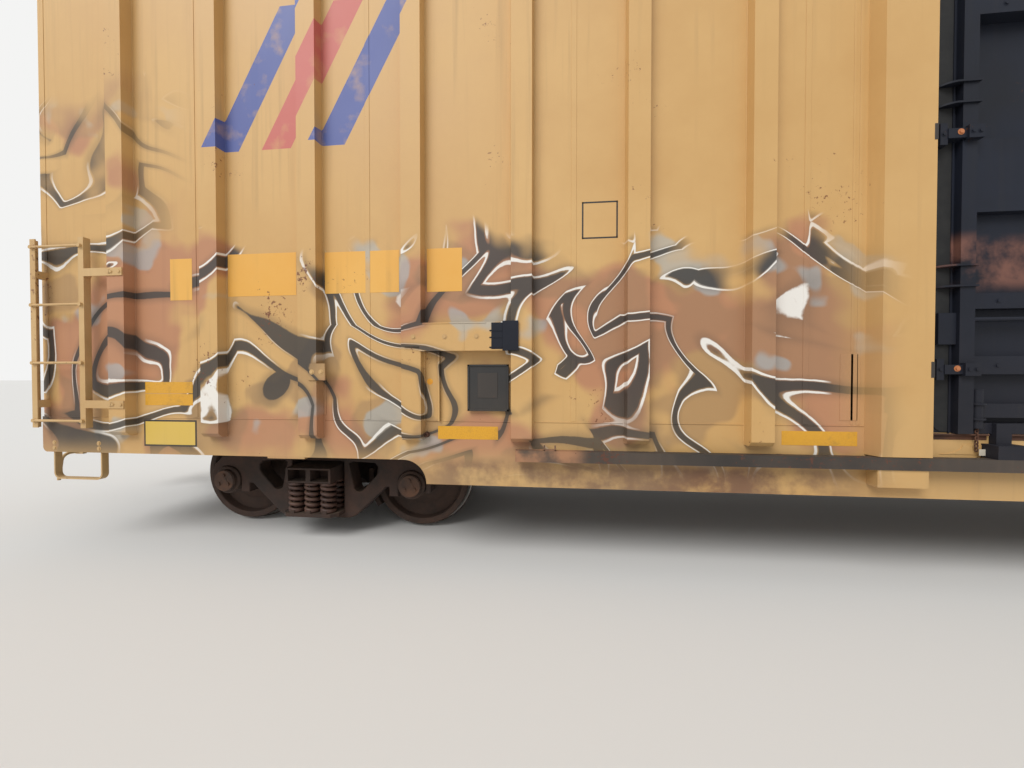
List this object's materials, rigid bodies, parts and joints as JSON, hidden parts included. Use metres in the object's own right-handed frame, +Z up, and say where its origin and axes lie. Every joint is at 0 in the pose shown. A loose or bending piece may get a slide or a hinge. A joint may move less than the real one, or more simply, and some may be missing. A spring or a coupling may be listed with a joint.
{
  "type": "railroad boxcar",
  "caption": "High-cube steel boxcar with plug doors, hat-section side posts, corner ladders, knuckle couplers and swivelling four-wheel trucks.",
  "frame": {"origin": "under the middle of the car, at the height of the wheel flange tips", "axes": "+X along the car towards end b, +Y across it to the far side, +Z up"},
  "size_m": [20.99, 3.204, 5.2074],
  "materials": {
    "body_paint": "weathered tan-yellow enamel on steel sheet",
    "ladder_paint": "chipped tan enamel on steel bar",
    "door_paint": "faded near-black enamel on pressed steel",
    "door_rail": "grimy dark enamel, worn to brown",
    "roof_sheet": "dull weathered sheet steel",
    "floor_deck": "worn nailable decking",
    "underframe_paint": "dusty brown enamel over rust",
    "platform_steel": "galvanised open grating, dulled",
    "brake_gear": "rusty painted iron",
    "wheel_steel": "rolled steel brown with rust, tread worn bright",
    "truck_casting": "rough cast steel, dark brown with dust",
    "spring_steel": "dull brown coil springs",
    "coupler_casting": "bare rusty casting"
  },
  "bodies": {
    "carbody": {"air_reservoir": "underframe_paint", "body_bolster_a": "underframe_paint", "body_bolster_b": "underframe_paint", "brake_cylinder": "underframe_paint", "brake_rods": "underframe_paint", "brake_valve": "underframe_paint", "centre_sill": "underframe_paint", "cross_bearers": "underframe_paint", "door_a_far": "door_paint", "door_a_near": "door_paint", "door_b_far": "door_paint", "door_b_near": "door_paint", "end_ladder_a": "ladder_paint", "end_ladder_b": "ladder_paint", "end_platform_a": "platform_steel", "end_platform_b": "platform_steel", "end_wall_a": "body_paint", "end_wall_b": "body_paint", "floor": "floor_deck", "hand_brake_housing": "brake_gear", "hand_brake_wheel": "brake_gear", "ladder_a_far": "ladder_paint", "ladder_a_near": "ladder_paint", "ladder_b_far": "ladder_paint", "ladder_b_near": "ladder_paint", "lower_rail_far": "door_rail", "lower_rail_near": "door_rail", "roof": "roof_sheet", "side_panel_a_far": "body_paint", "side_panel_a_near": "body_paint", "side_panel_b_far": "body_paint", "side_panel_b_near": "body_paint", "side_plate_far": "body_paint", "side_plate_near": "body_paint", "side_sill_far": "body_paint", "side_sill_near": "body_paint", "uncoupling_lever_a": "ladder_paint", "uncoupling_lever_b": "ladder_paint", "upper_rail_far": "door_rail", "upper_rail_near": "door_rail"},
    "truck_a": {"side_frame_a_near": "truck_casting", "side_frame_a_far": "truck_casting", "springs_a": "spring_steel", "truck_bolster_a": "truck_casting", "brake_beams_a": "truck_casting"},
    "axle_a1": {"wheelset_a1": "wheel_steel"},
    "axle_a2": {"wheelset_a2": "wheel_steel"},
    "coupling_a": {"coupler_a": "coupler_casting"},
    "jaw_a": {"knuckle_a": "coupler_casting"},
    "truck_b": {"side_frame_b_near": "truck_casting", "side_frame_b_far": "truck_casting", "springs_b": "spring_steel", "truck_bolster_b": "truck_casting", "brake_beams_b": "truck_casting"},
    "axle_b1": {"wheelset_b1": "wheel_steel"},
    "axle_b2": {"wheelset_b2": "wheel_steel"},
    "coupling_b": {"coupler_b": "coupler_casting"},
    "jaw_b": {"knuckle_b": "coupler_casting"}
  },
  "joints": [
    {"name": "truck_a_swivel", "type": "hinge", "parent": "carbody", "child": "truck_a", "pos_m": [-7.0485, 0, 0.6794], "axis": [0, 0, 1], "range_deg": [-6, 6]},
    {"name": "axle_a1_spin", "type": "hinge", "parent": "truck_a", "child": "axle_a1", "pos_m": [-7.9375, 0, 0.4826], "axis": [0, 1, 0], "continuous": true},
    {"name": "axle_a2_spin", "type": "hinge", "parent": "truck_a", "child": "axle_a2", "pos_m": [-6.1595, 0, 0.4826], "axis": [0, 1, 0], "continuous": true},
    {"name": "coupler_a_swing", "type": "hinge", "parent": "carbody", "child": "coupling_a", "pos_m": [-9.639, 0, 0.9014], "axis": [0, 0, 1], "range_deg": [-7, 7]},
    {"name": "knuckle_a_open", "type": "hinge", "parent": "coupling_a", "child": "jaw_a", "pos_m": [-10.363, -0.148, 0.9014], "axis": [0, 0, 1], "range_deg": [0, 40]},
    {"name": "truck_b_swivel", "type": "hinge", "parent": "carbody", "child": "truck_b", "pos_m": [7.0485, 0, 0.6794], "axis": [0, 0, 1], "range_deg": [-6, 6]},
    {"name": "axle_b1_spin", "type": "hinge", "parent": "truck_b", "child": "axle_b1", "pos_m": [6.1595, 0, 0.4826], "axis": [0, 1, 0], "continuous": true},
    {"name": "axle_b2_spin", "type": "hinge", "parent": "truck_b", "child": "axle_b2", "pos_m": [7.9375, 0, 0.4826], "axis": [0, 1, 0], "continuous": true},
    {"name": "coupler_b_swing", "type": "hinge", "parent": "carbody", "child": "coupling_b", "pos_m": [9.639, 0, 0.9014], "axis": [0, 0, 1], "range_deg": [-7, 7]},
    {"name": "knuckle_b_open", "type": "hinge", "parent": "coupling_b", "child": "jaw_b", "pos_m": [10.363, 0.148, 0.9014], "axis": [0, 0, 1], "range_deg": [0, 40]}
  ]
}
